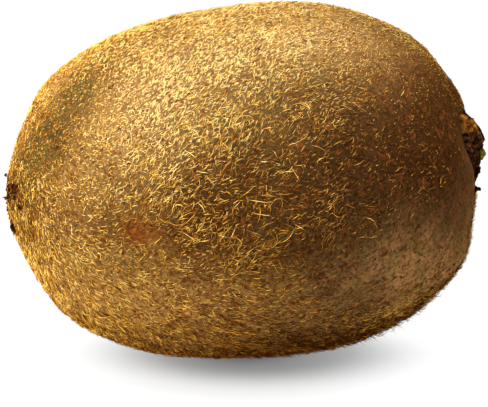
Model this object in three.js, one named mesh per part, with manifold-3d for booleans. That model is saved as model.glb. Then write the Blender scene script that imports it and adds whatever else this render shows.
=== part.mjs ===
// A whole, unpeeled kiwi fruit lying on its side.
// It has three pieces: the fruit itself, the withered calyx in the hollow at its stem end,
// and the dried ring of the dead flower at its blossom end.
//
// Units are millimetres and +Z is up. The fruit is drawn about its own long axis, X, with the
// stem end at +X. It is then tilted so that the stem end rides a little high, and set down with
// the middle of its bounding box's underside at the origin.

import * as THREE from "three";
import { mergeVertices } from "three/addons/utils/BufferGeometryUtils.js";
import Module from "manifold-3d";

const wasm = await Module();
wasm.setup();

// ---- Driving dimensions ----

// Half outline of the fruit as [station along the axis, radius], from the blossom end's small
// blunt tip to the floor of the hollow round the stalk.
const OUTLINE = [
  [-33.9, 0],
  [-33.65, 1.0],
  [-32.95, 1.8],
  [-32.85, 3.4],
  [-32.9, 4.4],
  [-31.7, 7.3],
  [-29.4, 12.0],
  [-25.8, 17.0],
  [-20.6, 20.5],
  [-14.5, 23.0],
  [-7.5, 24.5],
  [0, 25.1],
  [6.5, 25.2],
  [13.3, 24.5],
  [19.4, 22.6],
  [24.6, 19.9],
  [28.9, 16.5],
  [31.9, 12.3],
  [33.3, 9.4],
  [33.7, 6.0],
  [32.9, 3.4],
  [32.4, 0],
];
const FRUIT_START = OUTLINE[0][0];
const FRUIT_LENGTH = 67.6;
const FRUIT_RINGS = 46;
const FRUIT_SECTORS = 72;
const CUTTER_SECTORS = 24; // what has dried onto the fruit follows a coarser copy of it
const WIDTH_TO_HEIGHT = 1.04; // a kiwi is slightly flat, and lies on its flatter side
const TILT = 6; // degrees that the stem end is raised
const FLAT_DEPTH = 0.4; // how much of the underside is pressed flat where it rests

// Slow swellings of the flesh: [height, waves round the fruit, waves along it, phase].
// They fade towards the axis inside the given radius.
const SWELLINGS = [
  [0.25, 2, 1, Math.PI / 2],
  [0.2, 3, 2, 0],
  [0.12, 5, 1, Math.PI],
];
const SWELLING_FADE_RADIUS = 5;
// The shoulder round the stalk leans down a little, and dips and rises three times on its way round.
const SHOULDER = { from: 26, to: 32, lean: 0.04, dip: 1.5, lobes: 3, phase: 2.62, radius: 8.2, spread: 3.4 };

const GAP = 0.3; // clearance between the fruit and what has dried onto it

// The calyx's sepals, each an arched withered blade: where it stands round the axis, in degrees
// from +Y towards +Z, and the base, top and tip of its arch as [distance from the axis, station].
const SEPALS = [
  { at: 96, base: [1.9, 34.6], top: [5.9, 36.0], tip: [7.3, 33.2], width: 5.6 },
  { at: 166, base: [1.5, 34.0], top: [4.2, 35.6], tip: [6.2, 33.7], width: 4.4 },
  { at: 228, base: [1.5, 33.6], top: [3.2, 34.9], tip: [5.2, 33.9], width: 4.2 },
  { at: 292, base: [1.6, 33.6], top: [3.6, 34.8], tip: [5.4, 33.8], width: 4.0 },
  { at: 25, base: [1.5, 34.0], top: [4.4, 35.8], tip: [6.4, 33.8], width: 4.6 },
];
const SEPAL_THICKNESS = 0.8;
const SEPAL_NARROWING = 0.45; // share of its width that a sepal loses towards its tip
const SEPAL_SEGMENTS = [10, 8];

// The crust that the sepals stand on, and the broken end of the stalk, as [radius, station].
const CRUST_OUTLINE = [
  [0, 32],
  [4.6, 32],
  [4.7, 33.7],
  [3.2, 34.3],
  [0, 34.5],
];
const STALK_OUTLINE = [
  [0, 33],
  [1.3, 33],
  [1.45, 35.2],
  [1.1, 35.6],
  [0.55, 35.5],
  [0.45, 34.8],
  [0, 34.7],
];
const CALYX_RISE = 0.8; // the calyx sits this far above the fruit's axis
const CALYX_SECTORS = 18;

// Crumbs of dried tissue: two are set, as [across, up, station, radius], and the others lie in a
// ring, each with a distance from the calyx's middle, a station and a radius within these ranges.
const SET_CRUMBS = [
  [-0.6, -1.8, 34.5, 0.55],
  [-0.4, -5.0, 33.9, 0.5],
];
const RING_CRUMBS = 9;
const CRUMB_DISTANCE = [2.4, 4.2];
const CRUMB_STATION = [34.1, 34.4];
const CRUMB_RADIUS = [0.5, 0.8];
const CRUMB_SEED = 7;

// The dead flower's ring, as a section [radius, station] round the blunt tip, and its styles,
// which lie on the skin like spokes.
const RING_SECTION = [
  [1.4, -32.2],
  [1.6, -33.7],
  [2.6, -33.8],
  [3.4, -33.6],
  [3.7, -32.2],
];
const RING_SECTORS = 24;
const RING_RAGS = [
  [0.08, 3, 1],
  [0.06, 7, 0],
]; // waves in the ring's outline: [share of the radius, waves round it, phase]
const STYLES = 13;
const STYLE_LENGTH = [1.3, 2.1];
const STYLE_RADIUS = 0.4;
const STYLE_START = [-33.45, 2.6]; // station and distance from the axis of a style's thick end
const STYLE_DROOP = 0.12; // radians that a style leans back towards the fruit
const STYLE_SWAY = 0.5; // share of a style's spacing that its place may vary by
const STYLE_SEED = 19;

// ---- Helpers ----

function solidOf(geometry) {
  const bare = geometry.index ? geometry.toNonIndexed() : geometry.clone();
  for (const name of Object.keys(bare.attributes)) {
    if (name !== "position") bare.deleteAttribute(name);
  }
  const merged = mergeVertices(bare, 1e-4);
  return new wasm.Manifold(
    new wasm.Mesh({
      numProp: 3,
      vertProperties: merged.attributes.position.array,
      triVerts: new Uint32Array(merged.index.array),
    }),
  );
}

function geometryOf(solid) {
  const mesh = solid.getMesh();
  const geometry = new THREE.BufferGeometry();
  geometry.setAttribute("position", new THREE.BufferAttribute(mesh.vertProperties, 3));
  geometry.setIndex(new THREE.BufferAttribute(mesh.triVerts, 1));
  geometry.computeVertexNormals();
  return geometry;
}

function joined(solids) {
  return solids.reduce((whole, solid) => whole.add(solid));
}

// The largest body of a solid: scraps that a cut left are dropped, and sealed hollows are filled.
function mainBody(solid) {
  return solid.decompose().reduce((main, body) => (body.volume() > main.volume() ? body : main));
}

// Moves each vertex of a geometry by a function of its place.
function reshape(geometry, move) {
  const places = geometry.attributes.position;
  const place = new THREE.Vector3();
  for (let i = 0; i < places.count; i += 1) {
    place.fromBufferAttribute(places, i);
    move(place);
    places.setXYZ(i, place.x, place.y, place.z);
  }
  return geometry;
}

// Spins [radius, station] points about the X axis.
function turned(points, sectors) {
  const outline = points.map(([radius, station]) => new THREE.Vector2(radius, station));
  const turnedShape = new THREE.LatheGeometry(outline, sectors);
  turnedShape.rotateZ(-Math.PI / 2);
  return turnedShape;
}

// A repeatable stream of numbers from 0 to 1.
function randomStream(seed) {
  let state = seed;
  return () => {
    state = (state * 1664525 + 1013904223) % 4294967296;
    return state / 4294967296;
  };
}

// ---- The fruit ----

function swelling(along, angle) {
  return SWELLINGS.reduce(
    (sum, [height, round, waves, phase]) =>
      sum + height * Math.cos(round * angle + phase) * Math.sin(waves * Math.PI * along),
    0,
  );
}

function shoulderShift(station, radius, angle) {
  const nearStem = THREE.MathUtils.smoothstep(station, SHOULDER.from, SHOULDER.to);
  const ring = Math.exp(-(((radius - SHOULDER.radius) / SHOULDER.spread) ** 2));
  const wave = 0.5 - 0.5 * Math.cos(SHOULDER.lobes * angle + SHOULDER.phase);
  return -nearStem * (SHOULDER.dip * ring * wave + SHOULDER.lean * radius * Math.sin(angle));
}

function fruitGeometry(sectors) {
  const curve = new THREE.CatmullRomCurve3(
    OUTLINE.map(([station, radius]) => new THREE.Vector3(radius, station, 0)),
    false,
    "centripetal",
  );
  const outline = curve.getSpacedPoints(FRUIT_RINGS).map(({ x, y }) => [Math.max(x, 0), y]);
  outline[0][0] = 0;
  outline[FRUIT_RINGS][0] = 0;
  return reshape(turned(outline, sectors), (place) => {
    const radius = Math.hypot(place.y, place.z);
    const angle = Math.atan2(place.z, place.y);
    const along = THREE.MathUtils.clamp((place.x - FRUIT_START) / FRUIT_LENGTH, 0, 1);
    const swollen = 1 + swelling(along, angle) / Math.max(radius, SWELLING_FADE_RADIUS);
    place.x += shoulderShift(place.x, radius, angle);
    place.y *= swollen * WIDTH_TO_HEIGHT;
    place.z *= swollen;
  });
}

// The floor that the tilted fruit presses into, drawn in the fruit's own untilted frame.
function restingFloor(fruit, tilt) {
  const set = fruit.clone().applyMatrix4(tilt);
  set.computeBoundingBox();
  const size = 3 * FRUIT_LENGTH;
  const floor = new THREE.BoxGeometry(size, size, size);
  floor.translate(0, 0, set.boundingBox.min.z + FLAT_DEPTH - size / 2);
  return floor.applyMatrix4(tilt.clone().invert());
}

// ---- The calyx at the stem end ----

// A blade made from a ball: flattened, given a pointed outline, and bent along an arch.
function sepalGeometry({ at, base, top, tip, width }) {
  const arch = new THREE.QuadraticBezierCurve(
    new THREE.Vector2(...base),
    new THREE.Vector2(...top),
    new THREE.Vector2(...tip),
  );
  const blade = new THREE.SphereGeometry(1, ...SEPAL_SEGMENTS);
  blade.rotateZ(Math.PI / 2);
  reshape(blade, (place) => {
    const along = (place.x + 1) / 2;
    const centre = arch.getPoint(along);
    const slope = arch.getTangent(along);
    const narrowing = 1 - SEPAL_NARROWING * along;
    const lift = (SEPAL_THICKNESS / 2) * place.z;
    const distance = centre.x + slope.y * lift;
    const station = centre.y - slope.x * lift;
    place.set(station, (width / 2) * narrowing * place.y, distance);
  });
  blade.rotateX(THREE.MathUtils.degToRad(at - 90));
  return blade;
}

function crumbPlaces() {
  const random = randomStream(CRUMB_SEED);
  const within = (range) => THREE.MathUtils.lerp(...range, random());
  const scattered = Array.from({ length: RING_CRUMBS }, (_, index) => {
    const angle = (2 * Math.PI * (index + random())) / RING_CRUMBS;
    const distance = within(CRUMB_DISTANCE);
    const across = distance * Math.cos(angle);
    const up = distance * Math.sin(angle);
    return [across, up, within(CRUMB_STATION), within(CRUMB_RADIUS)];
  });
  return [...SET_CRUMBS, ...scattered];
}

function calyxSolid(cutter) {
  const crust = turned(CRUST_OUTLINE, CALYX_SECTORS);
  const stalk = turned(STALK_OUTLINE, CALYX_SECTORS);
  const crumbs = crumbPlaces().map(([across, up, station, radius]) =>
    new THREE.IcosahedronGeometry(radius, 1).translate(station, across, up),
  );
  const pieces = [crust, stalk, ...SEPALS.map(sepalGeometry), ...crumbs];
  const raised = pieces.map((piece) => solidOf(piece.translate(0, 0, CALYX_RISE)));
  return mainBody(joined(raised).subtract(cutter.translate([GAP, 0, 0])));
}

// ---- The dead flower at the blossom end ----

function styleGeometry(index, random) {
  const angle = (2 * Math.PI * (index + STYLE_SWAY * random())) / STYLES;
  const length = THREE.MathUtils.lerp(...STYLE_LENGTH, random());
  const spoke = new THREE.ConeGeometry(STYLE_RADIUS, length, 6);
  spoke.translate(0, length / 2, 0);
  spoke.rotateZ(-STYLE_DROOP);
  spoke.translate(...STYLE_START, 0);
  spoke.rotateX(angle);
  return spoke;
}

function raggedness(angle) {
  return RING_RAGS.reduce(
    (sum, [share, waves, phase]) => sum + share * Math.cos(waves * angle + phase),
    1,
  );
}

function flowerRingSolid(cutter) {
  const random = randomStream(STYLE_SEED);
  const section = [...RING_SECTION, RING_SECTION[0]];
  const ring = reshape(turned(section, RING_SECTORS), (place) => {
    const ragged = raggedness(Math.atan2(place.z, place.y));
    place.y *= ragged;
    place.z *= ragged;
  });
  const styles = Array.from({ length: STYLES }, (_, index) => styleGeometry(index, random));
  const whole = joined([ring, ...styles].map(solidOf));
  return mainBody(whole.subtract(cutter.translate([-GAP, 0, 0])));
}

// ---- Assembly ----

function named(name, geometry, colour, roughness) {
  const material = new THREE.MeshStandardMaterial({ color: colour, roughness, metalness: 0 });
  const mesh = new THREE.Mesh(geometry, material);
  mesh.name = name;
  return mesh;
}

function kiwi() {
  const tilt = new THREE.Matrix4().makeRotationY(-THREE.MathUtils.degToRad(TILT));
  const shape = fruitGeometry(FRUIT_SECTORS);
  const cutter = solidOf(fruitGeometry(CUTTER_SECTORS));
  const fruit = solidOf(shape).subtract(solidOf(restingFloor(shape, tilt)));

  const tilted = new THREE.Group();
  tilted.applyMatrix4(tilt);
  tilted.add(named("fruit_body", geometryOf(fruit), 0x8a5f2b, 0.75));
  tilted.add(named("stem_calyx", geometryOf(calyxSolid(cutter)), 0x3a2416, 0.9));
  tilted.add(named("flower_ring", geometryOf(flowerRingSolid(cutter)), 0x2e1d14, 0.9));

  const whole = new THREE.Group();
  whole.add(tilted);
  const box = new THREE.Box3().setFromObject(whole, true);
  const middle = box.getCenter(new THREE.Vector3());
  tilted.position.set(-middle.x, -middle.y, -box.min.z);
  return whole;
}

export default kiwi();
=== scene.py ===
"""A whole, unpeeled kiwi fruit on a pale floor: its skin, its hairs, and what has dried at its ends.

Shapes are worked out in millimetres in the fruit's own frame: the X axis runs along the fruit to the
stem end, an angle goes round it from +Y towards +Z, and a station is a distance along it. They are
then tilted, set down where the frame's fruit is, and given to Blender in metres.
"""

import math

import bmesh
import bpy
import numpy as np
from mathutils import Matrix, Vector, noise


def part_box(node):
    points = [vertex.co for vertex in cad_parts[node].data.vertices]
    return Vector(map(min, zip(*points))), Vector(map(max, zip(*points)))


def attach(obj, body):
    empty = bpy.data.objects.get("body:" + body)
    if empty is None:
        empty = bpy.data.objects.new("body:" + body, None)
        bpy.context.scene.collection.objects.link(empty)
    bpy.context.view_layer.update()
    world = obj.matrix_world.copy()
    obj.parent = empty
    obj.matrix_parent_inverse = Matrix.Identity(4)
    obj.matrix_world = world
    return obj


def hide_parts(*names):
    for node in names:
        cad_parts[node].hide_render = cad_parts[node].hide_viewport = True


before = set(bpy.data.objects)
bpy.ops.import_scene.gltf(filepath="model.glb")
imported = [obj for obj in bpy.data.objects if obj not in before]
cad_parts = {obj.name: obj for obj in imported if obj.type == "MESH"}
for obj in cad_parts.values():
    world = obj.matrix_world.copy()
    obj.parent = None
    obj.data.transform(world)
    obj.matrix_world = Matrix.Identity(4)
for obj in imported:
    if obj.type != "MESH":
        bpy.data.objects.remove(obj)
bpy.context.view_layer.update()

MM = 0.001

# ---- The fruit's form, mm and degrees ----

# Half outline of the fruit as (station, radius), as in the frame's source.
OUTLINE = (
    (-33.9, 0),
    (-33.65, 1.0),
    (-32.95, 1.8),
    (-32.85, 3.4),
    (-32.9, 4.4),
    (-31.7, 7.3),
    (-29.4, 12.0),
    (-25.8, 17.0),
    (-20.6, 20.5),
    (-14.5, 23.0),
    (-7.5, 24.5),
    (0, 25.1),
    (6.5, 25.2),
    (13.3, 24.5),
    (19.4, 22.6),
    (24.6, 19.9),
    (28.9, 16.5),
    (31.9, 12.3),
    (33.3, 9.4),
    (33.7, 6.0),
    (32.9, 3.4),
    (32.4, 0),
)
START = OUTLINE[0][0]
LENGTH = 67.6
WIDTH_TO_HEIGHT = 1.04
TILT = 6
SWELLINGS = ((0.25, 2, 1, math.pi / 2), (0.2, 3, 2, 0), (0.12, 5, 1, math.pi))
SWELLING_FADE_RADIUS = 5
SHOULDER_FROM = 26
SHOULDER_TO = 32
SHOULDER_LEAN = 0.04
SHOULDER_DIP = 1.5
SHOULDER_LOBES = 3
SHOULDER_PHASE = 2.62
SHOULDER_RADIUS = 8.2
SHOULDER_SPREAD = 3.4
FLOOR_CLEARANCE = 0.02

# ---- The skin ----

SKIN_GRID = 116  # squares along one side of each of the skin's six patches
SKIN_BUMPS = ((0.05, 2.6), (0.03, 1.1))  # relief: (height, size)
# Two of the peel's colours vary, as (position on a ramp, colour).
SHADED_PEEL = (
    (0.34, (0.028, 0.012, 0.003)),
    (0.5, (0.052, 0.027, 0.008)),
    (0.66, (0.095, 0.054, 0.018)),
)
BARE_PEEL = ((0.38, (0.11, 0.067, 0.022)), (0.62, (0.22, 0.107, 0.049)))
OLIVE_PEEL = (0.042, 0.034, 0.012)
RUSTY_PEEL = (0.08, 0.024, 0.006)
# Reddish skin, used for real reddish patches and as painted shade.
REDDISH_AND_SHADE_PEEL = (0.065, 0.019, 0.004)
SPOT_PEEL = (0.115, 0.034, 0.009)
# Tan skin, used for real tan lumps and as painted light and sheen.
TAN_AND_LIT_PEEL = (0.18, 0.1, 0.04)
FELT_PEEL = (0.2, 0.112, 0.042)
# Painted shade on the skin.
PAINTED_SHADE_PEEL = (0.022, 0.0075, 0.0015)
FLECK_PEEL = (0.035, 0.009, 0.003)
FLECK_SPACING = 1.9
FLECK_STRETCH = 2.2
FLECK_SLOPE = 30  # degrees up from level, towards the stem end

# ---- The hairs ----

# Each kind: how many hairs in how many pieces, their length and width in mm, their lift off the skin
# in degrees, how much they bend sideways in radians, and how many segments each has.
FUZZ = {
    "count": 74000,
    "pieces": 2,
    "length": (0.5, 1.2),
    "width": 0.11,
    "lift": (22, 64),
    "bend": 0,
    "segments": 1,
}
HAIRS = {
    "count": 35000,
    "pieces": 2,
    "length": (0.8, 2.1),
    "width": 0.105,
    "lift": (10, 38),
    "bend": 0.3,
    "segments": 2,
}
LONG_HAIRS = {
    "count": 1700,
    "pieces": 1,
    "length": (1.8, 3.3),
    "width": 0.095,
    "lift": (5, 20),
    "bend": 0.6,
    "segments": 5,
}
STUBBLE = {
    "count": 2600,
    "pieces": 1,
    "length": (0.35, 1.0),
    "width": 0.3,
    "lift": (4, 14),
    "bend": 0.2,
    "segments": 2,
}
# Share of the hairs tinted dark, as painted shade in the gaps between hairs.
DARK_HAIR_SHARE = 0.13
STRAY_HAIR_SHARE = 0.16  # hairs that point any way
LAY_ANGLE = 30  # degrees that the hairs lean round the fruit from its axis
HUGGED_RADIUS = 26  # how tightly the hairs curve down with the fruit
ROOT_DEPTH = 0.06
NO_HAIRS_WAY = (0.31, 0.83, 0.46)  # a direction to measure each hair's and thread's cross-section from

# ---- Patches of the skin, each (station, angle, reach along, reach round, amount) ----

BARE_PATCHES = (
    (25, 206, 9, 7, 1.0),
    (26, 222, 7, 6, 0.3),
    (31, 224, 4, 8, 0.7),
    (27, 240, 5, 5, 0.4),
    (32, 190, 3.5, 7, 0.4),
    (14, 212, 10, 7, 0.3),
    (20, 20, 9, 10, 0.7),
)
SHORT_PATCHES = (
    (21, 122, 14, 16, 0.4),
    (-18, 130, 20, 26, 0.45),
    (-30, 180, 7, 40, -0.1),
    (20, 90, 16, 14, 0.2),
    (30, 165, 8, 13, 0.4),
    (6, 155, 16, 14, 0.2),
)
# Where the hairs turn round from their lay, or stand up more: these amounts are degrees.
TURN_PATCHES = ((-30, 175, 12, 34, -75), (-8, 228, 20, 12, -40), (26, 190, 9, 18, 25))
UPRIGHT_PATCHES = ((16, 262, 14, 14, 14), (26, 250, 10, 12, 10), (-20, 255, 10, 10, 8))
LONG_PATCHES = (
    (3, 172, 13, 18, 0.3),
    (18, 256, 14, 9, 0.3),
    (8, 240, 16, 14, 0.15),
    (-4, 10, 16, 20, 0.3),
)
# Redder, darker hairs and skin: real rusty tufts and the red spot, and painted shade on the underside,
# the lower right and beside the calyx, where the shade looks redder.
RUSTY_AND_SHADE_PATCHES = (
    (24, 163, 13, 14, 0.2),
    (14, 201, 8, 6, 0.24),
    (4, 252, 26, 15, 0.4),
    (0, 195, 14, 12, 0.1),
    (-11.6, 183, 3.0, 1.8, 0.3),
    (-19.5, 128, 4, 5, 0.16),
    (-23.5, 146, 5, 5, 0.18),
    (17, 234, 15, 13, 0.26),
    (31, 165, 6, 14, 0.14),
    (22, 125, 12, 12, 0.12),
    (13, 181, 9, 10, 0.14),
)
# Paler hairs: mostly painted light, with a painted sheen at the upper left and painted light on the
# top, the rims and the lower edges; the two faint entries near the blossom end are real pale lumps.
PALE_AND_LIT_PATCHES = (
    (-9, 145, 9, 10, 0.54),
    (4, 120, 16, 12, 0.12),
    (10, 128, 15, 12, 0.34),
    (-8, 92, 20, 12, 0.1),
    (-28, 198, 7, 12, 0.2),
    (-24, 108, 7, 7, 0.04),
    (-29.5, 124, 4, 5, 0.04),
    (32.5, 258, 3, 11, 0.2),
    (21, 234, 8, 5, 0.35),
)
# Lighter, tan skin: mostly painted light and a painted sheen, in the same places as the paler hairs;
# the entries at stations -24 and -29.5 are real tan lumps.
TAN_AND_LIT_PATCHES = (
    (-9, 145, 11, 11, 0.8),
    (8, 118, 20, 13, 0.7),
    (-20, 165, 6, 14, 0.4),
    (-24, 108, 7, 8, 0.8),
    (-29.5, 124, 3.5, 5, 0.8),
    (32.5, 258, 3, 11, 0.7),
    (21, 234, 8, 5, 0.5),
)
SPOT_PATCHES = ((-11.6, 183, 3.1, 1.8, 1.0),)
OLIVE_PATCHES = (
    (-19.5, 128, 4, 5, 0.95),
    (-23.5, 145, 4, 5, 0.9),
    (-28, 152, 3.5, 5, 0.7),
    (6, 160, 16, 12, 0.5),
    (16, 205, 14, 9, 0.5),
)
FELT_PATCHES = ((-10, 222, 22, 12, 0.8), (12, 236, 16, 12, 0.25), (-2, 248, 26, 10, 0.7))
# Painted shade: darker skin and hairs in the shaded band of the right side and beside the withered
# calyx; the hairs there are also sparser, with more long ones.
PAINTED_SHADE_PATCHES = (
    (21, 163, 14, 11, 0.5),
    (30, 155, 6, 14, 0.48),
    (2, 175, 8, 9, 0.36),
    (-22, 140, 5, 4, 0.15),
    (-31, 178, 5, 22, 0.25),
    (32, 186, 4, 14, 0.3),
)

# ---- The withered calyx at the stem end ----

SEPAL_THICKNESS = 0.55
SEPAL_NARROWING = 0.45
SEPAL_ROWS = 26
SEPAL_COLUMNS = 17
# Each sepal: angle, then base, top and tip as (distance from the axis, station), width, and how far
# its edges droop. The flap is tan, and the others are dark.
FLAP = (98, (2.7, 35.4), (4.9, 35.0), (6.9, 33.0), 5.2, 1.5)
DARK_SEPALS = (
    (160, (1.5, 34.2), (4.2, 35.2), (6.0, 33.2), 4.6, 1.0),
    (228, (1.5, 33.5), (3.2, 34.0), (5.0, 33.1), 4.0, 0.8),
    (292, (1.6, 33.3), (3.4, 33.7), (5.2, 33.0), 3.8, 0.8),
    (25, (1.5, 34.2), (4.4, 35.3), (6.4, 33.3), 4.6, 0.9),
)
FLAP_CREST = 8  # which of the flap's columns its black rim follows
# Crumbs and lumps, each (station, y, z, radius).
FLAP_LUMPS = (
    (33.7, -0.9, 5.2, 1.1),
    (33.4, 0.9, 5.3, 1.0),
    (34.3, -0.6, 4.2, 0.8),
    (33.0, -1.8, 6.2, 0.8),
    (33.3, -2.6, 5.2, 0.8),
    (33.6, -2.4, 4.4, 0.7),
    (34.2, -1.6, 4.6, 0.7),
    (33.0, -3.2, 4.6, 0.6),
)
DARK_LUMPS = (
    (32.8, 0, 0, 2.0),
    (33.2, -2.4, 1.4, 1.3),
    (33.1, -2.8, -1.2, 1.1),
    (33.2, 2.4, 1.0, 1.3),
    (33.0, 1.4, -2.4, 1.1),
    (33.2, -0.9, -2.7, 0.9),
    (33.1, -3.4, 3.4, 0.8),
    (33.6, -3.0, 3.6, 0.7),
    (34.2, -2.5, 3.7, 0.6),
    (34.8, -1.9, 3.3, 0.5),
    (34.5, -2.2, 2.4, 0.7),
    (34.4, -2.2, 1.4, 0.7),
    (34.0, -2.9, 0.2, 0.65),
    (34.9, -1.2, 1.4, 0.6),
    (34.2, -0.9, -0.4, 0.6),
    (34.62, -1.0, -1.0, 0.36),
    (34.5, -0.9, -1.5, 0.36),
    (34.1, -0.9, -2.1, 0.45),
    (33.8, -0.9, -2.6, 0.42),
    (33.5, -0.7, -3.2, 0.36),
    (34.2, -0.5, -4.15, 0.45),
    (33.8, -0.6, -4.3, 0.42),
    (33.35, -1.2, -4.6, 0.4),
    (34.8, 0.4, 2.2, 0.7),
    (35.45, 0, 2.9, 0.4),
    (35.3, 0, 1.9, 0.38),
    (35.35, -0.5, 1.25, 0.42),
    (33.0, -3.6, 2.6, 0.8),
)
LOBE_LUMPS = ((35.4, -2.2, 1.15, 0.42), (35.05, -2.2, 0.7, 0.42), (35.05, -2.1, 1.6, 0.36))
STALK_LUMPS = ((33.6, 0.2, -0.3, 0.9), (34.0, 0.7, 0.1, 0.5), (34.0, -0.3, 0.2, 0.5))

# ---- The dried flower at the other end ----

RING_CRUMBS = 46
RING_DISTANCE = (2.0, 3.7)
RING_STATION = (-33.1, -32.8)
RING_CRUMB_RADIUS = (0.16, 0.36)
# Crumbs that stand out, each (station, y, z, radius).
RING_LUMPS = (
    (-33.05, -1.4, 2.7, 0.32),
    (-33.05, -1.0, 2.0, 0.3),
    (-33.1, -0.9, 1.4, 0.3),
    (-33.1, -0.8, 0.8, 0.3),
    (-33.1, -0.7, 0.2, 0.28),
    (-31.9, -6.6, 3.1, 0.34),
    (-31.6, -7.4, 3.6, 0.38),
    (-31.15, -8.3, 3.5, 0.36),
    (-30.85, -9.1, 3.9, 0.36),
    (-30.4, -9.9, 3.6, 0.38),
    (-30.05, -10.7, 4.0, 0.34),
    (-29.7, -11.4, 3.7, 0.32),
    (-31.2, -8.5, 3.0, 0.3),
    (-30.4, -10.2, 3.2, 0.3),
    (-32.15, -6.3, 2.5, 0.3),
    (-32.25, -6.4, 1.9, 0.26),
    (-32.2, -6.6, 1.3, 0.24),
    (-30.6, -9.9, 2.4, 0.3),
    (-29.9, -11.5, 1.6, 0.3),
    (-29.6, -12.1, 1.3, 0.26),
    (-32.2, -6.3, -1.8, 0.36),
    (-32.1, -6.5, -2.3, 0.44),
    (-32.0, -6.6, -2.8, 0.42),
    (-31.8, -6.7, -3.3, 0.34),
    (-33.35, -1.0, 4.25, 0.22),
)
# A single dark thread that stands out of the ring: its root and tip, each (station, y, z).
STRAY_THREAD = ((-33.0, -0.5, 0.95), (-34.4, -0.5, 0.9))
# Where the hairs are thin round the crumbs, as patches of the skin.
SCAR_PATCHES = (
    (-31.2, 156, 1.0, 1.6, 0.9),
    (-30.1, 160, 0.9, 1.4, 0.9),
    (-32.1, 200, 0.7, 1.6, 0.8),
    (-30.6, 167, 0.5, 0.7, 0.6),
    (-29.8, 173, 0.5, 0.7, 0.6),
)
STYLES = 15
STYLE_LENGTH = (1.2, 2.6)

# Darkest, middle and lightest tone of each withered part.
FLAP_TONES = ((0.018, 0.005, 0.001), (0.07, 0.023, 0.002), (0.17, 0.066, 0.008))
CRUST_TONES = ((0.005, 0.002, 0.001), (0.016, 0.005, 0.001), (0.065, 0.019, 0.003))
LOBE_TONES = ((0.03, 0.022, 0.003), (0.075, 0.06, 0.007), (0.15, 0.125, 0.017))
STALK_TONES = ((0.012, 0.006, 0.003), (0.05, 0.022, 0.01), (0.13, 0.08, 0.05))
EDGE_TONES = ((0.004, 0.003, 0.002), (0.012, 0.007, 0.004), (0.04, 0.02, 0.01))
FLOWER_TONES = ((0.006, 0.003, 0.001), (0.022, 0.008, 0.002), (0.12, 0.035, 0.006))

# ---- The stage ----

CAMERA_AZIMUTH = -4
CAMERA_ELEVATION = 11
CAMERA_LENS = 150
CAMERA_DISTANCE = 294
CAMERA_AIM = (0.2, 0, 21.6)

FLOOR_BOUNCE = 0.62  # how pale the floor is to the light that it throws back at the fruit
FLOOR_SEEN = 0.03  # and how much lamplight it adds to its own white glow as the camera sees it
WORLD_LIGHT = 0.02
# The shadow on the floor, as soft ovals: centre, reach, share of the reach that is full, depth.
SHADOWS = (
    ((1.6, -2, 0), (28, 20.5, 20), 0.42, 0.42),
    ((1.2, -2, 0), (26, 36, 20), 0.1, 0.34),
    ((0, 0, 0), (11, 11, 11), 0.2, 0.14),
)
# Each lamp: name, direction from the fruit, distance, width, strength, colour, and whether it shines
# back off smooth surfaces.
LAMPS = (
    ("over", (0.06, -0.16, 0.95), 420, 110, 2.72, (1, 0.935, 0.71), True),
    ("back", (0.1, 0.4, 0.9), 420, 200, 0.5, (1, 0.95, 0.84), False),
    ("front", (-0.32, -0.72, 0.54), 420, 80, 0.85, (1, 0.95, 0.84), True),
    ("side", (-0.93, -0.36, 0.06), 420, 90, 0.45, (1, 0.8, 0.36), False),
    ("rim", (-0.9, 0.36, 0.1), 420, 90, 2.3, (1, 0.78, 0.26), False),
    ("edge", (0.8, 0.42, -0.36), 420, 90, 0.95, (1, 0.82, 0.5), False),
    ("low", (-0.92, -0.34, -0.22), 420, 140, 1.6, (1, 0.83, 0.45), False),
)


# ---- Helpers: numbers ----


def smoothstep(low, high, value):
    share = np.clip((value - low) / (high - low), 0, 1)
    return share * share * (3 - 2 * share)


def unit(vectors):
    return vectors / np.maximum(np.linalg.norm(vectors, axis=-1, keepdims=True), 1e-12)


def noise_at(points, size, offset=0.0):
    """Smooth noise from -1 to 1 at each of an array of points, in features of the given size."""
    shift = Vector((offset, -offset, 2 * offset))
    return np.array([noise.noise(Vector(p) / size + shift) for p in points])


def catmull_rom(points, steps):
    """Points along a centripetal Catmull-Rom curve through the given ones."""
    points = np.asarray(points, float)
    first = 2 * points[0] - points[1]
    last = 2 * points[-1] - points[-2]
    padded = np.vstack([first, points, last])
    made = []
    for p0, p1, p2, p3 in zip(padded, padded[1:], padded[2:], padded[3:]):
        t1 = math.dist(p0, p1) ** 0.5
        t2 = t1 + math.dist(p1, p2) ** 0.5
        t3 = t2 + math.dist(p2, p3) ** 0.5
        t = np.linspace(t1, t2, steps, endpoint=False)[:, None]
        a1 = (t1 - t) / t1 * p0 + t / t1 * p1
        a2 = (t2 - t) / (t2 - t1) * p1 + (t - t1) / (t2 - t1) * p2
        a3 = (t3 - t) / (t3 - t2) * p2 + (t - t2) / (t3 - t2) * p3
        b1 = (t2 - t) / t2 * a1 + t / t2 * a2
        b2 = (t3 - t) / (t3 - t1) * a2 + (t - t1) / (t3 - t1) * a3
        made.append((t2 - t) / (t2 - t1) * b1 + (t - t1) / (t2 - t1) * b2)
    made.append(points[-1:])
    return np.vstack(made)


# ---- The fruit's surface ----


def outline_by_arc():
    """The dense half outline, and each of its points' share of the outline's length."""
    curve = catmull_rom(OUTLINE, 24)
    steps = np.linalg.norm(np.diff(curve, axis=0), axis=1)
    share = np.concatenate([[0], np.cumsum(steps)]) / steps.sum()
    return curve, share


CURVE, CURVE_SHARE = outline_by_arc()


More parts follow.
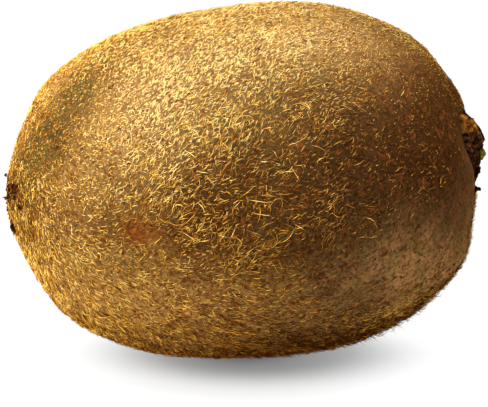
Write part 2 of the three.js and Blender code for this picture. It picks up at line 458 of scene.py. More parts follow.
def fruit_points(share, angle):
    """Points of the fruit's surface in its own frame, by share of the outline and angle round it."""
    station = np.interp(share, CURVE_SHARE, CURVE[:, 0])
    radius = np.maximum(np.interp(share, CURVE_SHARE, CURVE[:, 1]), 0)
    along = np.clip((station - START) / LENGTH, 0, 1)
    swelling = sum(
        height * np.cos(waves_round * angle + phase) * np.sin(waves * math.pi * along)
        for height, waves_round, waves, phase in SWELLINGS
    )
    swollen = 1 + swelling / np.maximum(radius, SWELLING_FADE_RADIUS)
    near_stem = smoothstep(SHOULDER_FROM, SHOULDER_TO, station)
    ring = np.exp(-(((radius - SHOULDER_RADIUS) / SHOULDER_SPREAD) ** 2))
    wave = 0.5 - 0.5 * np.cos(SHOULDER_LOBES * angle + SHOULDER_PHASE)
    x = station - near_stem * (SHOULDER_DIP * ring * wave + SHOULDER_LEAN * radius * np.sin(angle))
    y = radius * np.cos(angle) * swollen * WIDTH_TO_HEIGHT
    z = radius * np.sin(angle) * swollen
    return np.stack([x, y, z], axis=-1)


def tilted(points):
    turn = math.radians(TILT)
    x = points[..., 0] * math.cos(turn) - points[..., 2] * math.sin(turn)
    z = points[..., 0] * math.sin(turn) + points[..., 2] * math.cos(turn)
    return np.stack([x, points[..., 1], z], axis=-1)


def place_of_fruit():
    """How far the tilted fruit moves to lie where the frame's fruit does."""
    share, angle = np.meshgrid(np.linspace(0, 1, 400), np.linspace(-math.pi, math.pi, 400))
    points = tilted(fruit_points(share, angle)).reshape(-1, 3)
    low, high = (np.array(corner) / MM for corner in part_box("fruit_body"))
    shift = (low + high - points.min(axis=0) - points.max(axis=0)) / 2
    shift[2] = high[2] - points[:, 2].max()
    return shift


PLACE = place_of_fruit()


def set_down(points):
    """From the fruit's own frame to where it lies, pressed flat where it meets the floor."""
    placed = tilted(points) + PLACE
    placed[..., 2] = np.maximum(placed[..., 2], FLOOR_CLEARANCE)
    return placed


# ---- Helpers: objects and materials ----


def mesh_object(name, points, faces, uvs=None, smooth=True):
    """A mesh from points in mm, lists of faces, and the place of each face corner on its map."""
    mesh = bpy.data.meshes.new(name)
    mesh.from_pydata((np.asarray(points) * MM).tolist(), [], faces)
    if uvs is not None:
        layer = mesh.uv_layers.new(name="OFBake")
        layer.data.foreach_set("uv", np.asarray(uvs, np.float32).ravel())
    mesh.polygons.foreach_set("use_smooth", [smooth] * len(mesh.polygons))
    mesh.validate()
    mesh.update()
    piece = bpy.data.objects.new(name, mesh)
    bpy.context.collection.objects.link(piece)
    return piece


def finish_piece(piece, material, node=None):
    piece.data.materials.clear()
    piece.data.materials.append(material)
    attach(piece, "root")
    if node:
        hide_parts(node)


class Nodes:
    """A small helper that builds one material's node tree."""

    def __init__(self, name):
        self.material = bpy.data.materials.new(name)
        self.material.use_nodes = True
        self.tree = self.material.node_tree
        self.shader = self.tree.nodes["Principled BSDF"]

    def add(self, kind, **settings):
        node = self.tree.nodes.new(kind)
        for key, value in settings.items():
            setattr(node, key, value)
        return node

    def link(self, source, target):
        self.tree.links.new(source, target)

    def place(self):
        """The object's own coordinates, in metres."""
        return self.add("ShaderNodeTexCoord").outputs["Object"]

    def noise(self, place, size, detail=2.0, roughness=0.5):
        """Smooth noise from 0 to 1 with features of a size in mm."""
        node = self.add("ShaderNodeTexNoise")
        node.inputs["Scale"].default_value = 1 / (size * MM)
        node.inputs["Detail"].default_value = detail
        node.inputs["Roughness"].default_value = roughness
        self.link(place, node.inputs["Vector"])
        return node.outputs["Fac"]

    def ramp(self, factor, stops, smooth=False):
        """A colour ramp with (position, colour) stops; a colour may be one number."""
        node = self.add("ShaderNodeValToRGB")
        if smooth:
            node.color_ramp.interpolation = "EASE"
        elements = node.color_ramp.elements
        while len(elements) < len(stops):
            elements.new(0.5)
        for element, (position, colour) in zip(elements, stops):
            element.position = position
            shade = (colour,) * 3 if isinstance(colour, (int, float)) else colour
            element.color = (*shade, 1)
        self.link(factor, node.inputs["Fac"])
        return node.outputs["Color"]

    def mix(self, factor, first, second, blend="MIX"):
        """Mixes two colours; a socket or a plain value may stand for any of the three."""
        node = self.add("ShaderNodeMix", data_type="RGBA", blend_type=blend)
        targets = (node.inputs["Factor"], node.inputs[6], node.inputs[7])
        for target, value in zip(targets, (factor, first, second)):
            self.feed(target, value)
        return node.outputs[2]

    def math(self, operation, first, second=0.0):
        node = self.add("ShaderNodeMath", operation=operation)
        self.feed(node.inputs[0], first)
        self.feed(node.inputs[1], second)
        return node.outputs[0]

    def oval(self, place, centre, reach, inner=0.0, outer=1.0):
        """1 round a place in mm, fading to 0 between two shares of its reach along each axis."""
        offset = self.add("ShaderNodeVectorMath", operation="SUBTRACT")
        self.link(place, offset.inputs[0])
        offset.inputs[1].default_value = [value * MM for value in centre]
        shrunk = self.add("ShaderNodeVectorMath", operation="DIVIDE")
        self.link(offset.outputs[0], shrunk.inputs[0])
        shrunk.inputs[1].default_value = [value * MM for value in reach]
        distance = self.add("ShaderNodeVectorMath", operation="LENGTH")
        self.link(shrunk.outputs[0], distance.inputs[0])
        fade = self.add("ShaderNodeMapRange", interpolation_type="SMOOTHSTEP")
        fade.inputs["From Min"].default_value = inner
        fade.inputs["From Max"].default_value = outer
        fade.inputs["To Min"].default_value = 1
        fade.inputs["To Max"].default_value = 0
        self.link(distance.outputs["Value"], fade.inputs["Value"])
        return fade.outputs["Result"]

    def feed(self, target, value):
        if isinstance(value, bpy.types.NodeSocket):
            self.link(value, target)
        elif isinstance(value, (int, float)):
            target.default_value = value
        else:
            target.default_value = (*value, 1)

    def bump(self, height, strength, distance):
        """Adds a bump to the shader, with its distance in mm."""
        node = self.add("ShaderNodeBump")
        node.inputs["Strength"].default_value = strength
        node.inputs["Distance"].default_value = distance * MM
        self.link(height, node.inputs["Height"])
        self.link(node.outputs["Normal"], self.shader.inputs["Normal"])


# ---- The skin ----


def cube_patches(grid):
    """Directions and map places for the six patches of a cube blown up to a ball."""
    steps = np.linspace(-math.pi / 4, math.pi / 4, grid + 1)
    across, up = np.meshgrid(np.tan(steps), np.tan(steps))
    one = np.ones_like(across)
    sides = (
        (one, across, up),
        (-one, -across, up),
        (-across, one, up),
        (across, -one, up),
        (-up, across, one),
        (up, across, -one),
    )
    return [unit(np.stack(side, axis=-1)) for side in sides]


def skin_surface():
    """The skin's points, square faces and map places."""
    points, faces, uvs = [], [], []
    row = SKIN_GRID + 1
    corner = np.arange(SKIN_GRID)[:, None] * row + np.arange(SKIN_GRID)[None, :]
    squares = np.stack([corner, corner + 1, corner + row + 1, corner + row], axis=-1).reshape(-1, 4)
    margin = 0.01
    for index, directions in enumerate(cube_patches(SKIN_GRID)):
        polar = np.arccos(np.clip(-directions[..., 0], -1, 1))
        angle = np.arctan2(directions[..., 2], directions[..., 1])
        points.append(fruit_points(polar / math.pi, angle).reshape(-1, 3))
        faces.append(squares + index * row * row)
        column, line = index % 3, index // 3
        place = np.stack([squares % row, squares // row], axis=-1) / SKIN_GRID
        cell = np.array([1 / 3, 1 / 2])
        uvs.append((np.array([column, line]) + margin + place * (1 - 2 * margin)) * cell)
    return np.vstack(points), np.vstack(faces), np.vstack(uvs)


def welded(points, faces):
    """Merges points that coincide along the patches' edges."""
    keys = np.round(points, 4)
    _, first, inverse = np.unique(keys, axis=0, return_index=True, return_inverse=True)
    return points[first], inverse.reshape(-1)[faces]


def vertex_normals(points, faces):
    a, b, c, d = (points[faces[:, i]] for i in range(4))
    face_normals = np.cross(c - a, d - b)
    normals = np.zeros_like(points)
    for i in range(4):
        np.add.at(normals, faces[:, i], face_normals)
    return unit(normals)


def build_skin():
    points, faces, uvs = skin_surface()
    points, faces = welded(points, faces)
    normals = vertex_normals(points, faces)
    if np.mean(np.sum(normals * points, axis=1)) < 0:
        faces = faces[:, ::-1]
        uvs = uvs[:, ::-1]
        normals = -normals
    for index, (height, size) in enumerate(SKIN_BUMPS):
        points = points + normals * (height * noise_at(points, size, 3.7 * index))[:, None]
    placed = set_down(points)
    skin = mesh_object("kiwi_skin", placed, faces.tolist(), uvs.reshape(-1, 2))
    finish_piece(skin, skin_material(), "fruit_body")
    return points, faces, normals


def spot(station, angle):
    """Where a place on the skin lies in the scene, in mm."""
    upper = CURVE_SHARE[np.argmin(np.abs(CURVE[:, 0] - station) + 100 * (CURVE[:, 1] < 4))]
    return set_down(fruit_points(np.array([upper]), np.array([math.radians(angle)])))[0]


def painted(nodes, place, colour, patches, paint, share=1.0):
    """Lays a paint over a colour, in soft patches of the skin."""
    for station, angle, along, around, amount in patches:
        patch_here = nodes.oval(place, spot(station, angle), (along, around, around), 0.1, 1.6)
        colour = nodes.mix(nodes.math("MULTIPLY", patch_here, share * amount), colour, paint)
    return colour


def flecks(nodes, place):
    """1 on the long dark flecks where hairs have come away, and 0 between them."""
    turned = nodes.add("ShaderNodeVectorRotate", rotation_type="Y_AXIS")
    nodes.link(place, turned.inputs["Vector"])
    turned.inputs["Angle"].default_value = math.radians(FLECK_SLOPE)
    squeezed = nodes.add("ShaderNodeVectorMath", operation="MULTIPLY")
    nodes.link(turned.outputs["Vector"], squeezed.inputs[0])
    squeezed.inputs[1].default_value = (1 / FLECK_STRETCH, 1, 1)
    cells = nodes.add("ShaderNodeTexVoronoi")
    cells.inputs["Scale"].default_value = 1 / (FLECK_SPACING * MM)
    nodes.link(squeezed.outputs[0], cells.inputs["Vector"])
    middle = nodes.ramp(cells.outputs["Distance"], ((0.12, 1.0), (0.2, 0.0)))
    chosen = nodes.ramp(cells.outputs["Color"], ((0.45, 0.0), (0.5, 0.85)))
    return nodes.math("MULTIPLY", middle, chosen)


def skin_material():
    nodes = Nodes("kiwi_peel")
    place = nodes.place()
    broad = nodes.noise(place, 9, 3, 0.55)
    colour = nodes.ramp(broad, SHADED_PEEL)
    olive = nodes.ramp(nodes.noise(place, 3.4, 3, 0.6), ((0.5, 0.0), (0.68, 1.0)))
    colour = nodes.mix(olive, colour, OLIVE_PEEL)
    khaki = nodes.ramp(nodes.noise(place, 3, 3, 0.55), BARE_PEEL)
    # Reddish skin: real patches, and painted shade.
    colour = painted(nodes, place, colour, RUSTY_AND_SHADE_PATCHES, REDDISH_AND_SHADE_PEEL, 1.8)
    # Tan skin: real lumps, and painted light and sheen.
    colour = painted(nodes, place, colour, TAN_AND_LIT_PATCHES, TAN_AND_LIT_PEEL)
    colour = painted(nodes, place, colour, FELT_PATCHES, FELT_PEEL)
    colour = painted(nodes, place, colour, OLIVE_PATCHES, OLIVE_PEEL)
    colour = painted(nodes, place, colour, SPOT_PATCHES, SPOT_PEEL)
    colour = painted(nodes, place, colour, BARE_PATCHES, khaki)
    # Painted shade.
    colour = painted(nodes, place, colour, PAINTED_SHADE_PATCHES, PAINTED_SHADE_PEEL, 1.6)
    rusty = nodes.ramp(nodes.noise(place, 1.1, 2, 0.5), ((0.58, 0.0), (0.64, 0.8)))
    colour = nodes.mix(rusty, colour, RUSTY_PEEL)
    colour = nodes.mix(flecks(nodes, place), colour, FLECK_PEEL)
    grain = nodes.noise(place, 0.5, 3, 0.7)
    colour = nodes.mix(0.75, colour, nodes.ramp(grain, ((0.34, 0.35), (0.66, 1.6))), "MULTIPLY")
    nodes.link(colour, nodes.shader.inputs["Base Color"])
    nodes.link(nodes.ramp(broad, ((0.3, 0.62), (0.7, 0.76))), nodes.shader.inputs["Roughness"])
    nodes.shader.inputs["Specular IOR Level"].default_value = 0.02
    nodes.bump(grain, 0.7, 0.15)
    return nodes.material


# ---- The hairs ----


def patch(points, station, angle, along, round_fruit):
    """1 at a place on the fruit, fading over a distance along it and another round it, in mm."""
    turn = np.arctan2(points[:, 2], points[:, 1]) - math.radians(angle)
    turn = (turn + math.pi) % (2 * math.pi) - math.pi
    radius = np.hypot(points[:, 1], points[:, 2])
    across = turn * radius / round_fruit
    return np.exp(-(((points[:, 0] - station) / along) ** 2) - across**2)


def amount_at(points, patches):
    return sum(amount * patch(points, *place) for *place, amount in patches)


def bareness(points):
    """Where the hairs have rubbed off: 0 in full hair, 1 on bare skin."""
    return np.clip(amount_at(points, BARE_PATCHES) * (1.1 + 0.6 * noise_at(points, 3, 9)), 0, 1)


def roots_on_skin(skin, count, random, keep):
    """Random places on the skin, with their normals, thinned by keep(points)."""
    points, faces, normals = skin
    a, b, c, d = (points[faces[:, i]] for i in range(4))
    area = np.linalg.norm(np.cross(c - a, d - b), axis=1)
    centres = (a + b + c + d) / 4
    weight = area * keep(centres)
    chosen = random.choice(len(faces), size=count, p=weight / weight.sum())
    u, v = random.random((2, count, 1))
    corners = points[faces[chosen]]
    roots = (1 - v) * ((1 - u) * corners[:, 0] + u * corners[:, 1])
    roots = roots + v * ((1 - u) * corners[:, 3] + u * corners[:, 2])
    return roots, unit(normals[faces[chosen]].mean(axis=1))


def hair_paths(roots, normals, lengths, lift, heading, bend, segments):
    """The points of each hair, from root to tip, hugging the fruit's curve."""
    axis = np.array([1.0, 0, 0])
    forward = unit(axis - normals * (normals @ axis)[:, None])
    side = np.cross(normals, forward)
    t = np.linspace(0, 1, segments + 1)[None, :, None]
    turn = heading[:, None, None] + bend[:, None, None] * t
    direction = np.cos(turn) * forward[:, None, :] + np.sin(turn) * side[:, None, :]
    travel = lengths[:, None, None] * t
    rise = np.tan(lift)[:, None, None] * travel * (1 - 0.75 * t)
    sink = travel**2 / (2 * HUGGED_RADIUS)
    height = rise - sink - ROOT_DEPTH * (1 - t)
    offset = direction * travel + normals[:, None, :] * height
    return roots[:, None, :] + offset


def hair_mesh(name, paths, widths, tints):
    """One mesh of closed, three-sided, tapering hairs."""
    count, rings, _ = paths.shape
    sides = 3
    along = unit(np.gradient(paths, axis=1))
    across = unit(np.cross(along, NO_HAIRS_WAY))
    other = np.cross(along, across)
    corners = 2 * math.pi * np.arange(sides) / sides
    taper = 1 - np.linspace(0, 1, rings) ** 1.6 * 0.85
    radius = widths[:, None] / 2 * taper[None, :]
    ring = (
        across[:, :-1, None, :] * np.cos(corners)[None, None, :, None]
        + other[:, :-1, None, :] * np.sin(corners)[None, None, :, None]
    )
    body = paths[:, :-1, None, :] + ring * radius[:, :-1, None, None]
    tips = paths[:, -1:, :]
    points = np.concatenate([body.reshape(count, -1, 3), tips], axis=1)
    per_hair = (rings - 1) * sides + 1
    faces, map_places = one_hair(rings, sides)
    every = (np.arange(count) * per_hair)[:, None]
    triangles = [(face[None, :] + every) for face in faces]
    polygons = np.stack(triangles, axis=1).reshape(-1, 3)
    spread = 0.004
    u = tints[:, None] * 0.98 + 0.01 + map_places[None, :, 0] * spread
    v = np.broadcast_to(map_places[None, :, 1], u.shape)
    uvs = np.stack([u, v], axis=-1).reshape(-1, 2)
    placed = set_down(points.reshape(-1, 3))
    return mesh_object(name, placed, polygons.tolist(), uvs)


def one_hair(rings, sides):
    """A single hair's triangles, and the place of each corner of them on the map."""
    faces, places = [], []
    for ring in range(rings - 1):
        low = ring / (rings - 1)
        high = (ring + 1) / (rings - 1)
        for side in range(sides):
            following = (side + 1) % sides
            a = ring * sides + side
            b = ring * sides + following
            left, right = side - 1, side
            if ring == rings - 2:
                tip = (rings - 1) * sides
                faces.append((a, b, tip))
                places.append(((left, low), (right, low), ((left + right) / 2, high)))
                continue
            c, d = a + sides, b + sides
            faces.append((a, b, d))
            places.append(((left, low), (right, low), (right, high)))
            faces.append((a, d, c))
            places.append(((left, low), (right, high), (left, high)))
    faces.append((2, 1, 0))
    places.append(((-1, 0), (0, 0.02), (1, 0)))
    flat = np.array([corner for face in places for corner in face], float)
    flat[:, 1] = flat[:, 1] * 0.96 + 0.02
    return [np.array(face) for face in faces], flat


def grow(name, skin, kind, seed, keep, material):
    """Grows one kind of hair, in as many pieces as it says."""
    for index in range(kind["pieces"]):
        random = np.random.default_rng(seed + index)
        count = kind["count"] // kind["pieces"]
        roots, normals = roots_on_skin(skin, count, random, keep)
        paths = lay_hairs(roots, normals, kind, random)
        widths = kind["width"] * random.uniform(0.75, 1.2, count)
        tints = hair_tints(roots, random)
        hairs = hair_mesh(f"{name}_{index + 1}", paths, widths, tints)
        finish_piece(hairs, material)


def lay_hairs(roots, normals, kind, random):
    count = len(roots)
    low, high = kind["length"]
    bare = bareness(roots)
    growth = 1 + amount_at(roots, LONG_PATCHES) - amount_at(roots, SHORT_PATCHES) - 0.5 * bare
    lengths = low + (high - low) * random.random(count) ** 1.5
    lengths = lengths * growth * (0.9 + 0.3 * noise_at(roots, 6, 1.5))
    lift = random.uniform(*kind["lift"], count) + amount_at(roots, UPRIGHT_PATCHES)
    lift = np.radians(np.minimum(lift, 80))
    swirl = 30 * noise_at(roots, 8, 5) + 30 * noise_at(roots, 2.2, 2)
    lay = LAY_ANGLE + amount_at(roots, TURN_PATCHES)
    heading = np.radians(lay + swirl + random.normal(0, 26, count))
    stray = random.random(count) < STRAY_HAIR_SHARE
    heading = np.where(stray, random.uniform(-math.pi, math.pi, count), heading)
    bend = random.normal(0, kind["bend"], count)
    return hair_paths(roots, normals, lengths, lift, heading, bend, kind["segments"])


def hair_tints(roots, random):
    """From 0 for the darkest rust to 1 for the palest straw."""
    # Painted light turns hairs paler; the reddish patches, partly painted shade, turn them redder.
    drift = amount_at(roots, PALE_AND_LIT_PATCHES) - amount_at(roots, RUSTY_AND_SHADE_PATCHES)
    clumps = 0.26 * noise_at(roots, 2.4, 7) + 0.14 * noise_at(roots, 9, 3)
    # Painted shade: many hairs in the shade patches are darker.
    shade = 0.6 * amount_at(roots, PAINTED_SHADE_PATCHES) * (random.random(len(roots)) < 0.6)
    # A share of hairs tinted dark, as painted shade in the gaps between hairs.
    gap_shade = 0.6 * (random.random(len(roots)) < DARK_HAIR_SHARE)
    own = random.normal(0, 0.24, len(roots)) - gap_shade
    return np.clip(np.minimum(0.54 + clumps + own, 0.9) + drift - shade, 0, 1)


def hair_material():
    """Tints run across the map, from rust to straw, and roots are darker than tips, as painted shade
    near the skin.
    """
    nodes = Nodes("kiwi_hair")
    where = nodes.add("ShaderNodeUVMap", uv_map="OFBake")
    split = nodes.add("ShaderNodeSeparateXYZ")
    nodes.link(where.outputs["UV"], split.inputs["Vector"])
    tint = nodes.ramp(
        split.outputs["X"],
        (
            (0.0, (0.055, 0.013, 0.001)),
            (0.25, (0.21, 0.068, 0.005)),
            (0.5, (0.5, 0.255, 0.032)),
            (0.72, (0.8, 0.51, 0.105)),
            (1.0, (0.97, 0.79, 0.38)),
        ),
    )
    # Painted shade: darker towards the roots.
    shade = nodes.ramp(split.outputs["Y"], ((0.0, 0.12), (0.4, 0.78), (1.0, 1.1)))
    nodes.link(nodes.mix(1.0, tint, shade, "MULTIPLY"), nodes.shader.inputs["Base Color"])
    nodes.shader.inputs["Roughness"].default_value = 0.45
    nodes.shader.inputs["Specular IOR Level"].default_value = 0.15
    return nodes.material


def build_hairs(skin):
    material = hair_material()
    grow("fuzz", skin, FUZZ, 11, fuzz_cover, material)
    grow("hair", skin, HAIRS, 21, hair_cover, material)
    grow("long_hair", skin, LONG_HAIRS, 31, long_cover, material)
    grow("stubble", skin, STUBBLE, 41, stubble_cover, stubble_material())


def open_ends(points):
    """Thins the hairs out round the two withered ends."""
    distance = np.hypot(points[:, 1], points[:, 2])
    ring = smoothstep(0, -30, points[:, 0]) * smoothstep(6.2, 4.8, distance)
    calyx = smoothstep(32, 33, points[:, 0]) * smoothstep(6.5, 5, distance)
    return np.clip(1 - 0.75 * ring - 0.8 * calyx - amount_at(points, SCAR_PATCHES), 0.04, 1)


def fuzz_cover(points):
    dense = 1 + 1.2 * amount_at(points, SHORT_PATCHES) - 0.8 * amount_at(points, PAINTED_SHADE_PATCHES)
    return np.maximum(dense, 0.1) * (1 - 0.9 * bareness(points)) * open_ends(points)


def hair_cover(points):
    dense = 1 - amount_at(points, SHORT_PATCHES) - 0.9 * amount_at(points, PAINTED_SHADE_PATCHES)
    return np.maximum(dense, 0.16) * (1 - 0.88 * bareness(points)) * open_ends(points)


def long_cover(points):
    dense = 0.12 + 2 * amount_at(points, LONG_PATCHES) + 0.9 * amount_at(points, PAINTED_SHADE_PATCHES)
    return np.maximum(dense, 0.03) * (1 - 0.9 * bareness(points))


def stubble_cover(points):
    return 0.12 + bareness(points) * np.clip(0.5 + 1.6 * noise_at(points, 1.6, 4), 0, 1)


def stubble_material():
    """The dark stumps of hairs that have broken off."""
    nodes = Nodes("kiwi_stubble")
    tone = nodes.noise(nodes.place(), 1.2, 2)
    colour = nodes.ramp(tone, ((0.35, (0.022, 0.007, 0.002)), (0.65, (0.09, 0.022, 0.005))))
    nodes.link(colour, nodes.shader.inputs["Base Color"])
    nodes.shader.inputs["Roughness"].default_value = 0.75
    nodes.shader.inputs["Specular IOR Level"].default_value = 0.15
    return nodes.material


# ---- Lumps, crumbs and withered sepals ----


def in_place(points):
    """From the fruit's own frame to where it lies."""
    return tilted(np.asarray(points, float)) + PLACE


def lump(station, y, z, radius, seed, detail=3):
    """A crumpled ball."""
    ball = bmesh.new()
    bmesh.ops.create_icosphere(ball, subdivisions=detail, radius=1)
    points = np.array([tuple(vertex.co) for vertex in ball.verts])
    faces = [tuple(vertex.index for vertex in face.verts) for face in ball.faces]
    ball.free()
    swell = 1 + 0.28 * noise_at(points, 0.9, seed)
    return points * swell[:, None] * radius + (station, y, z), faces


def sepal(angle, base, top, tip, width, droop, seed):
    """A thick, arched leaf with a ragged edge, closed all round."""
    turn = math.radians(angle)
    along = np.linspace(0, 1, SEPAL_ROWS)
    across = np.linspace(-1, 1, SEPAL_COLUMNS)
    t = along[:, None]
    spine = (1 - t) ** 2 * np.array(base) + 2 * t * (1 - t) * np.array(top) + t**2 * np.array(tip)
    slope = np.gradient(spine, axis=0)
    outward = unit(np.stack([-slope[:, 1], slope[:, 0]], axis=1)) * -1
    ragged = 1 + 0.16 * noise_at(np.stack([along * 6, along * 0, along * 0], axis=1), 1, seed)
    half = width / 2 * (1 - SEPAL_NARROWING * along**1.5) * ragged
    layers = []
    for side in (1, -1):
        lift = side * SEPAL_THICKNESS / 2
        middle = spine - outward * lift
        distance = middle[:, :1] + 0 * across[None, :]
        station = middle[:, 1:] - droop * across[None, :] ** 2
        reach = half[:, None] * across[None, :]
        y = distance * math.cos(turn) - reach * math.sin(turn)
        z = distance * math.sin(turn) + reach * math.cos(turn)
        layers.append(np.stack([station, y, z], axis=-1).reshape(-1, 3))
    return np.vstack(layers), sheet_faces(len(along), len(across))


def sheet_faces(rows, columns):
    """Faces of two stacked grids and the rim between them."""
    size = rows * columns
    faces = []
    for i in range(rows - 1):
        for j in range(columns - 1):
            a = i * columns + j
            square = (a, a + 1, a + columns + 1, a + columns)
            faces.append(square)
            faces.append(tuple(size + corner for corner in reversed(square)))
    rim = list(range(columns))
    rim += [i * columns + columns - 1 for i in range(1, rows)]
    rim += [(rows - 1) * columns + j for j in range(columns - 2, -1, -1)]
    rim += [i * columns for i in range(rows - 2, 0, -1)]
    for here, following in zip(rim, rim[1:] + rim[:1]):
        faces.append((following, here, size + here, size + following))
    return faces


def thread(path, radius, sides=6):
    """A closed, tapering strand through the points of a path."""
    path = np.asarray(path, float)
    along = unit(np.gradient(path, axis=0))
    across = unit(np.cross(along, NO_HAIRS_WAY))
    other = np.cross(along, across)
    corners = 2 * math.pi * np.arange(sides) / sides
    size = radius * (1 - 0.3 * np.linspace(0, 1, len(path)) ** 2)
    ring = (
        across[:, None] * np.cos(corners)[None, :, None]
        + other[:, None] * np.sin(corners)[None, :, None]
    )
    points = (path[:, None] + ring * size[:, None, None]).reshape(-1, 3)
    faces = [tuple(reversed(range(sides))), tuple(len(points) - sides + i for i in range(sides))]
    for i in range(len(path) - 1):
        for j in range(sides):
            a, b = i * sides + j, i * sides + (j + 1) % sides
            faces.append((a, b, b + sides, a + sides))
    return points, faces


def fused(name, parts, voxel, bumps, seed):
    """Melts overlapping closed parts into one crumpled body."""
    points, faces, count = [], [], 0
    for part_points, part_faces in parts:
        points.append(part_points)
        faces += [tuple(corner + count for corner in face) for face in part_faces]
        count += len(part_points)
    piece = mesh_object(name, in_place(np.vstack(points)), faces)
    melt = piece.modifiers.new("melt", "REMESH")
    melt.mode = "VOXEL"
    melt.voxel_size = voxel * MM
    graph = bpy.context.evaluated_depsgraph_get()
    melted = bpy.data.meshes.new_from_object(piece.evaluated_get(graph))
    piece.modifiers.clear()
    piece.data = melted
    places = np.empty(len(melted.vertices) * 3)
    outward = np.empty(len(melted.vertices) * 3)
    melted.vertices.foreach_get("co", places)
    melted.vertices.foreach_get("normal", outward)
    places = places.reshape(-1, 3) / MM
    outward = outward.reshape(-1, 3)
    for index, (height, size) in enumerate(bumps):
        places = places + outward * (height * noise_at(places, size, seed + index))[:, None]
    melted.vertices.foreach_set("co", (places * MM).ravel())
    melted.polygons.foreach_set("use_smooth", [True] * len(melted.polygons))
    melted.update()
    return piece


def build_calyx():
    flap_parts = [sepal(*FLAP, seed=2)]
    flap_parts += [lump(*place, seed=20 + i) for i, place in enumerate(FLAP_LUMPS)]
    flap = fused("calyx_flap", flap_parts, 0.12, ((0.2, 1.3), (0.2, 0.6), (0.09, 0.3)), 3)
    finish_piece(flap, withered_material("dry_flap", *FLAP_TONES))

    dark_parts = [sepal(*place, seed=5 + i) for i, place in enumerate(DARK_SEPALS)]
    dark_parts += [lump(*place, seed=40 + i) for i, place in enumerate(DARK_LUMPS)]
    dark = fused("calyx_crust", dark_parts, 0.12, ((0.22, 1.1), (0.24, 0.5), (0.1, 0.25)), 8)
    finish_piece(dark, withered_material("dry_crust", *CRUST_TONES), "stem_calyx")

    lobe_parts = [lump(*place, seed=70 + i) for i, place in enumerate(LOBE_LUMPS)]
    lobe = fused("calyx_lobe", lobe_parts, 0.1, ((0.1, 0.6),), 4)
    finish_piece(lobe, withered_material("dry_lobe", *LOBE_TONES))

    stalk_parts = [lump(*place, seed=80 + i) for i, place in enumerate(STALK_LUMPS)]
    stalk = fused("stalk_stub", stalk_parts, 0.1, ((0.12, 0.7),), 6)
    finish_piece(stalk, withered_material("dry_stalk", *STALK_TONES))

    edge = fused("calyx_edge", [thread(flap_edge(), 0.2)], 0.09, ((0.08, 0.5),), 9)
    finish_piece(edge, withered_material("dry_edge", *EDGE_TONES))


def flap_edge():
    """The curled black rim that runs along the tan flap's crest, from past its tip to its base."""
    points, _ = sepal(*FLAP, seed=2)
    outside = points[: len(points) // 2].reshape(SEPAL_ROWS, SEPAL_COLUMNS, 3)
    crest = outside[::-1, FLAP_CREST] + (0.12, 0, 0.04)
    hook = crest[:1] + (-0.1, 0.1, 0.5)
    return np.vstack([hook, crest])


def ring_places(random):
    """Crumbs scattered round the ring, each (station, y, z, radius)."""
    places = []
    for step in range(RING_CRUMBS):
        angle = 2 * math.pi * (step + random.uniform(-0.4, 0.4)) / RING_CRUMBS
        distance = random.uniform(*RING_DISTANCE)
        station = random.uniform(*RING_STATION)
        radius = random.uniform(*RING_CRUMB_RADIUS)
        places.append((station, distance * math.cos(angle), distance * math.sin(angle), radius))
    return places + list(RING_LUMPS)


def style_paths(random):
    """The curved dry threads that stand in the ring."""
    paths = []
    for step in range(STYLES):
        angle = 2 * math.pi * (step + random.uniform(-0.3, 0.3)) / STYLES
        root = random.uniform(0.8, 1.8)
        length = random.uniform(*STYLE_LENGTH)
        t = np.linspace(0, 1, 9)
        out = root + length * (0.75 * t + 0.25 * t**2)
        turn = angle + 0.35 * random.uniform(-1, 1) * t
        station = -33.2 - 0.3 * np.sin(math.pi * t) * random.uniform(0.4, 1)
        paths.append(np.stack([station, out * np.cos(turn), out * np.sin(turn)], axis=1))
    return paths


def build_flower_ring():
    random = np.random.default_rng(61)
    parts = [lump(*place, seed=90 + i, detail=2) for i, place in enumerate(ring_places(random))]
    parts += [thread(path, 0.18) for path in style_paths(random)]
    parts.append(thread(np.linspace(*STRAY_THREAD, 9), 0.15))
    ring = fused("flower_crust", parts, 0.09, ((0.2, 0.7), (0.14, 0.35)), 12)
    finish_piece(ring, withered_material("dry_flower", *FLOWER_TONES), "flower_ring")


def withered_material(name, dark, middle, light):
    nodes = Nodes(name)
    place = nodes.place()
    tone = nodes.noise(place, 0.8, 4, 0.7)
    colour = nodes.ramp(tone, ((0.36, dark), (0.5, middle), (0.64, light)))
    grain = nodes.noise(place, 0.3, 3, 0.7)
    colour = nodes.mix(0.8, colour, nodes.ramp(grain, ((0.34, 0.4), (0.66, 1.5))), "MULTIPLY")
    nodes.link(colour, nodes.shader.inputs["Base Color"])
    nodes.link(nodes.ramp(grain, ((0.3, 0.85), (0.7, 0.6))), nodes.shader.inputs["Roughness"])
    nodes.shader.inputs["Specular IOR Level"].default_value = 0.05
    nodes.bump(grain, 0.9, 0.15)
    return nodes.material


# ---- The stage ----


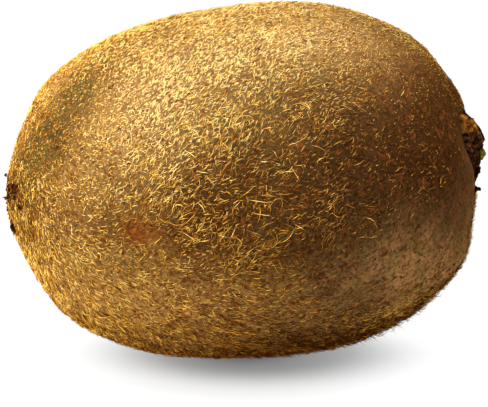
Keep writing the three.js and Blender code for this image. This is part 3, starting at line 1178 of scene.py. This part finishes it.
def build_stage():
    """A floor that glows white to the camera, less so in the soft ovals of the shadow."""
    floor = mesh_object(
        "floor",
        [(-2500, -2500, 0), (2500, -2500, 0), (2500, 2500, 0), (-2500, 2500, 0)],
        [(0, 1, 2, 3)],
    )
    nodes = Nodes("pale_floor")
    seen = nodes.add("ShaderNodeLightPath").outputs["Is Camera Ray"]
    colour = nodes.mix(seen, (FLOOR_BOUNCE,) * 3, (FLOOR_SEEN,) * 3)
    light = 1.0
    for centre, reach, full, depth in SHADOWS:
        oval = nodes.oval(nodes.place(), centre, reach, full)
        light = nodes.math("SUBTRACT", light, nodes.math("MULTIPLY", oval, depth))
    nodes.link(colour, nodes.shader.inputs["Base Color"])
    nodes.shader.inputs["Roughness"].default_value = 1
    nodes.shader.inputs["Specular IOR Level"].default_value = 0
    nodes.shader.inputs["Emission Color"].default_value = (1, 1, 1, 1)
    nodes.link(nodes.math("MULTIPLY", light, seen), nodes.shader.inputs["Emission Strength"])
    floor.data.materials.append(nodes.material)
    floor.visible_glossy = False
    floor.visible_shadow = False


def panel_light(name, direction, distance, size, strength, colour, shines):
    """A square lamp that faces the fruit; a strength of 1 would turn a white card there white."""
    light = bpy.data.lights.new(name, "AREA")
    light.shape = "SQUARE"
    light.size = size * MM
    light.energy = strength * (math.pi * distance * MM) ** 2
    light.color = colour
    lamp = bpy.data.objects.new(name, light)
    bpy.context.collection.objects.link(lamp)
    middle = Vector((0, 0, 25))
    towards = Vector(direction).normalized()
    lamp.location = (middle + towards * distance) * MM
    lamp.rotation_euler = towards.to_track_quat("Z", "Y").to_euler()
    lamp.visible_camera = False
    lamp.visible_glossy = shines


def build_lights():
    """The lamps, in a world that the camera sees white and that hardly lights the fruit."""
    world = bpy.data.worlds.new("studio")
    bpy.context.scene.world = world
    world.use_nodes = True
    tree = world.node_tree
    background = tree.nodes["Background"]
    background.inputs["Color"].default_value = (1, 1, 1, 1)
    path = tree.nodes.new("ShaderNodeLightPath")
    level = tree.nodes.new("ShaderNodeMapRange")
    level.inputs["To Min"].default_value = WORLD_LIGHT
    level.inputs["To Max"].default_value = 1
    tree.links.new(path.outputs["Is Camera Ray"], level.inputs["Value"])
    tree.links.new(level.outputs["Result"], background.inputs["Strength"])
    for lamp in LAMPS:
        panel_light(*lamp)


def build_camera():
    azimuth = math.radians(CAMERA_AZIMUTH)
    elevation = math.radians(CAMERA_ELEVATION)
    forward = Vector(
        (
            math.sin(azimuth) * math.cos(elevation),
            math.cos(azimuth) * math.cos(elevation),
            -math.sin(elevation),
        )
    )
    camera = bpy.data.cameras.new("camera")
    camera.lens = CAMERA_LENS
    camera.clip_start = 0.01
    holder = bpy.data.objects.new("camera", camera)
    bpy.context.collection.objects.link(holder)
    holder.location = (Vector(CAMERA_AIM) - forward * CAMERA_DISTANCE) * MM
    holder.rotation_euler = forward.to_track_quat("-Z", "Y").to_euler()
    bpy.context.scene.camera = holder


# ---- Everything ----

build_camera()
build_stage()
build_lights()
bpy.context.scene.view_settings.view_transform = "Standard"
skin = build_skin()
build_hairs(skin)
build_calyx()
build_flower_ring()
